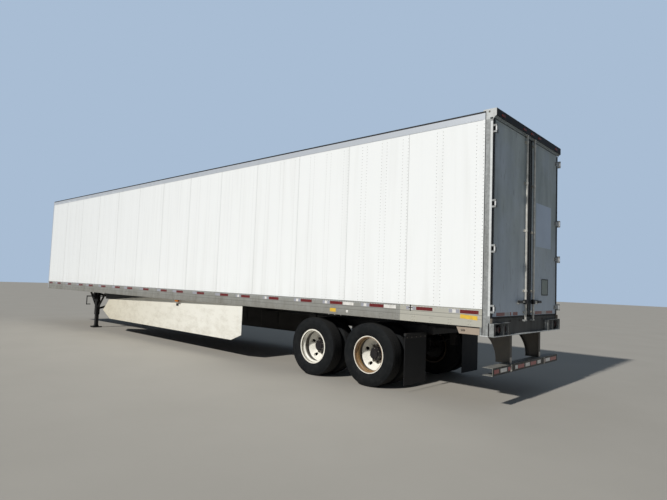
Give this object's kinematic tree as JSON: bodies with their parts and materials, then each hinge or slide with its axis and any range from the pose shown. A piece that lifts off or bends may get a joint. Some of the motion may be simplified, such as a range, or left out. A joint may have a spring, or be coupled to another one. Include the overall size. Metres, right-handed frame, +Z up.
{
  "type": "semi trailer, dry van",
  "caption": "Long dry van semi trailer: box body with swing rear doors, sliding spring tandem on twin wheels, side skirts and landing gear run down.",
  "frame": {"origin": "on the ground under the centre of the trailer's length and width", "axes": "+X forward towards the kingpin, +Y to the left (road) side, +Z up"},
  "size_m": [16.154, 2.591, 4.115],
  "materials": {
    "side_sheet": "white baked enamel on aluminium sheet, rivets in double rows",
    "aluminium_extrusion": "mill finish extrusion, weathered",
    "roof_sheet": "mill finish sheet, weathered",
    "galvanised_steel": "hot-dip galvanised, dull",
    "door_skin": "light grey-white paint, weathered",
    "zinc_fitting": "zinc plated, dull",
    "black_steel": "black chassis paint with dust",
    "laminated_oak": "laminated hardwood floor boards",
    "tyre_rubber": "worn black rubber",
    "white_wheel": "white wheel enamel with road dust",
    "rusty_wheel": "white wheel enamel with rust at the edge",
    "cast_hub": "cast iron, oily and dusty",
    "flap_rubber": "moulded black rubber",
    "skirt_panel": "cream-white composite sheet, dusty",
    "red_lens": "red lens",
    "amber_lens": "amber lens",
    "guard_steel": "grey paint worn to steel, red and white tape on the rear face"
  },
  "bodies": {
    "van_body": {"floor_deck": "laminated_oak", "crossmembers": "black_steel", "bottom_rail_left": "aluminium_extrusion", "bottom_rail_right": "aluminium_extrusion", "top_rail_left": "aluminium_extrusion", "top_rail_right": "aluminium_extrusion", "side_wall_left": "side_sheet", "side_wall_right": "side_sheet", "roof_panel": "roof_sheet", "front_wall": "side_sheet", "front_frame": "aluminium_extrusion", "service_connections": "zinc_fitting", "upper_coupler": "black_steel", "kingpin": "cast_hub", "rear_post_left": "galvanised_steel", "rear_post_right": "galvanised_steel", "rear_header": "galvanised_steel", "rear_sill": "galvanised_steel", "tail_lamps": "red_lens", "marker_lamps": "amber_lens", "guard_bar": "guard_steel", "guard_struts": "guard_steel", "slide_rails": "black_steel", "landing_legs": "black_steel", "landing_feet": "black_steel", "landing_braces": "black_steel", "landing_crank": "black_steel", "side_skirt_left": "skirt_panel", "side_skirt_right": "skirt_panel", "skirt_struts": "black_steel"},
    "door_left": {"door_panel_left": "door_skin", "hinge_straps_left": "zinc_fitting", "lock_rod_left": "zinc_fitting"},
    "door_right": {"door_panel_right": "door_skin", "hinge_straps_right": "zinc_fitting", "lock_rod_right": "zinc_fitting", "placard_frame": "zinc_fitting"},
    "tandem_slider": {"slider_frame": "black_steel", "lock_pins": "black_steel", "leaf_springs": "black_steel", "spring_clamps": "black_steel", "spring_hangers": "black_steel", "axles": "black_steel", "brake_chambers": "black_steel", "air_tank": "black_steel", "mud_flaps": "flap_rubber", "flap_arms": "black_steel", "torque_rods": "black_steel"},
    "wheels_front_left": {"tyres_front_left": "tyre_rubber", "rims_front_left": "white_wheel", "hub_front_left": "cast_hub"},
    "wheels_front_right": {"tyres_front_right": "tyre_rubber", "rims_front_right": "white_wheel", "hub_front_right": "cast_hub"},
    "wheels_rear_left": {"tyres_rear_left": "tyre_rubber", "rims_rear_left": "rusty_wheel", "hub_rear_left": "cast_hub"},
    "wheels_rear_right": {"tyres_rear_right": "tyre_rubber", "rims_rear_right": "rusty_wheel", "hub_rear_right": "cast_hub"}
  },
  "joints": [
    {"name": "door_left_swing", "type": "hinge", "parent": "van_body", "child": "door_left", "pos_m": [-8.064, 1.2794, 2.6], "axis": [0, 0, -1], "range_deg": [0, 268]},
    {"name": "door_right_swing", "type": "hinge", "parent": "van_body", "child": "door_right", "pos_m": [-8.064, -1.2794, 2.6], "axis": [0, 0, 1], "range_deg": [0, 268]},
    {"name": "tandem_slide", "type": "slide", "parent": "van_body", "child": "tandem_slider", "axis": [1, 0, 0], "range_m": [-0.6096, 1.2192]},
    {"name": "wheels_front_left_spin", "type": "hinge", "parent": "tandem_slider", "child": "wheels_front_left", "pos_m": [-4.7132, 0.98425, 0.505], "axis": [0, 1, 0], "continuous": true},
    {"name": "wheels_front_right_spin", "type": "hinge", "parent": "tandem_slider", "child": "wheels_front_right", "pos_m": [-4.7132, -0.98425, 0.505], "axis": [0, 1, 0], "continuous": true},
    {"name": "wheels_rear_left_spin", "type": "hinge", "parent": "tandem_slider", "child": "wheels_rear_left", "pos_m": [-5.9578, 0.98425, 0.505], "axis": [0, 1, 0], "continuous": true},
    {"name": "wheels_rear_right_spin", "type": "hinge", "parent": "tandem_slider", "child": "wheels_rear_right", "pos_m": [-5.9578, -0.98425, 0.505], "axis": [0, 1, 0], "continuous": true}
  ]
}
